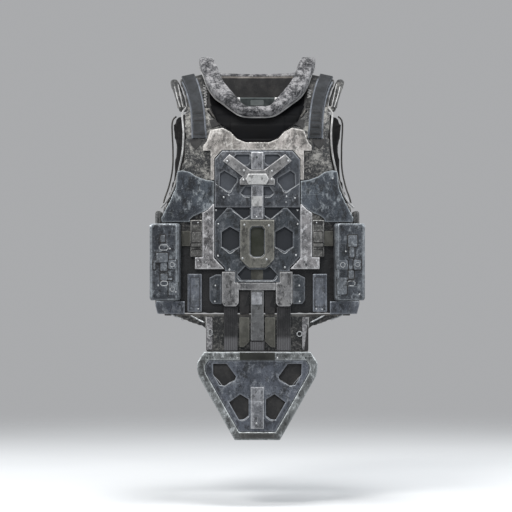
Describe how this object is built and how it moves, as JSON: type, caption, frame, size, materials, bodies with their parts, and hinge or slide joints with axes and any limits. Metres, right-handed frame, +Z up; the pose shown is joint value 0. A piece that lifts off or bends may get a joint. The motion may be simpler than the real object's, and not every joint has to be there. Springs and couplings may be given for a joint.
{
  "type": "body armour vest",
  "caption": "Padded torso armour vest with riveted pierced chest plates, rolled collar, throat guard, two side boxes and a hanging groin plate.",
  "frame": {"origin": "middle between the two shoulder pads, at the height of their undersides, where the vest sits on a wearer or a hanger", "axes": "+Z up, -Y out of the chest, +X to the wearer's left"},
  "size_m": [0.4756, 0.2875, 0.8547],
  "materials": {
    "padded_camouflage_cloth": "matte padded cloth with pale and dark blotches",
    "dark_lining_cloth": "matte dark cloth",
    "blue_grey_webbing": "woven webbing",
    "worn_grey_paint": "worn blue-grey paint, bright at the edges",
    "worn_sand_paint": "worn sand paint",
    "dark_polymer": "near-black, semi-matte",
    "worn_steel": "worn, brushed",
    "olive_grey_paint": "worn olive-grey paint"
  },
  "bodies": {
    "root": {"apron": "padded_camouflage_cloth", "apron_panel_left": "olive_grey_paint", "apron_panel_right": "olive_grey_paint", "belly_band": "worn_grey_paint", "belly_leg_left": "worn_grey_paint", "belly_leg_right": "worn_grey_paint", "belly_side_plate_left": "dark_polymer", "belly_side_plate_right": "dark_polymer", "belly_strap": "worn_grey_paint", "buckle_plate_left": "worn_grey_paint", "buckle_plate_right": "worn_grey_paint", "carrier_back": "padded_camouflage_cloth", "carrier_front": "padded_camouflage_cloth", "centre_frame": "olive_grey_paint", "centre_strap_lower": "worn_steel", "centre_strap_upper": "worn_steel", "chest_backing": "dark_polymer", "chest_plate_lower": "worn_grey_paint", "chest_plate_upper": "worn_grey_paint", "chest_rail_left": "worn_sand_paint", "chest_rail_right": "worn_sand_paint", "chest_yoke": "worn_sand_paint", "collar_bar": "dark_polymer", "collar_clip_left": "worn_steel", "collar_clip_right": "worn_steel", "collar_ring": "padded_camouflage_cloth", "cross_bar": "worn_steel", "cross_bracket": "worn_grey_paint", "groin_bar": "worn_steel", "groin_insert": "dark_polymer", "groin_pad": "dark_polymer", "groin_plate": "worn_grey_paint", "groin_rim": "worn_sand_paint", "groin_strap": "worn_steel", "neck_guard_back": "dark_lining_cloth", "shoulder_pad_left": "padded_camouflage_cloth", "shoulder_pad_right": "padded_camouflage_cloth", "shoulder_roll_left": "dark_lining_cloth", "shoulder_roll_right": "dark_lining_cloth", "shoulder_strap_left": "blue_grey_webbing", "shoulder_strap_right": "blue_grey_webbing", "side_box_left": "worn_steel", "side_box_right": "worn_steel", "side_chest_plate_left": "worn_grey_paint", "side_chest_plate_right": "worn_grey_paint", "side_panel_left": "padded_camouflage_cloth", "side_panel_right": "padded_camouflage_cloth", "skirt_front_plate_left": "dark_polymer", "skirt_front_plate_right": "dark_polymer", "skirt_side_plate_left": "worn_grey_paint", "skirt_side_plate_right": "worn_grey_paint", "throat_guard": "dark_polymer", "waist_strap_left": "blue_grey_webbing", "waist_strap_right": "blue_grey_webbing", "webbing_centre": "blue_grey_webbing", "webbing_left": "blue_grey_webbing", "webbing_right": "blue_grey_webbing"}
  },
  "joints": []
}
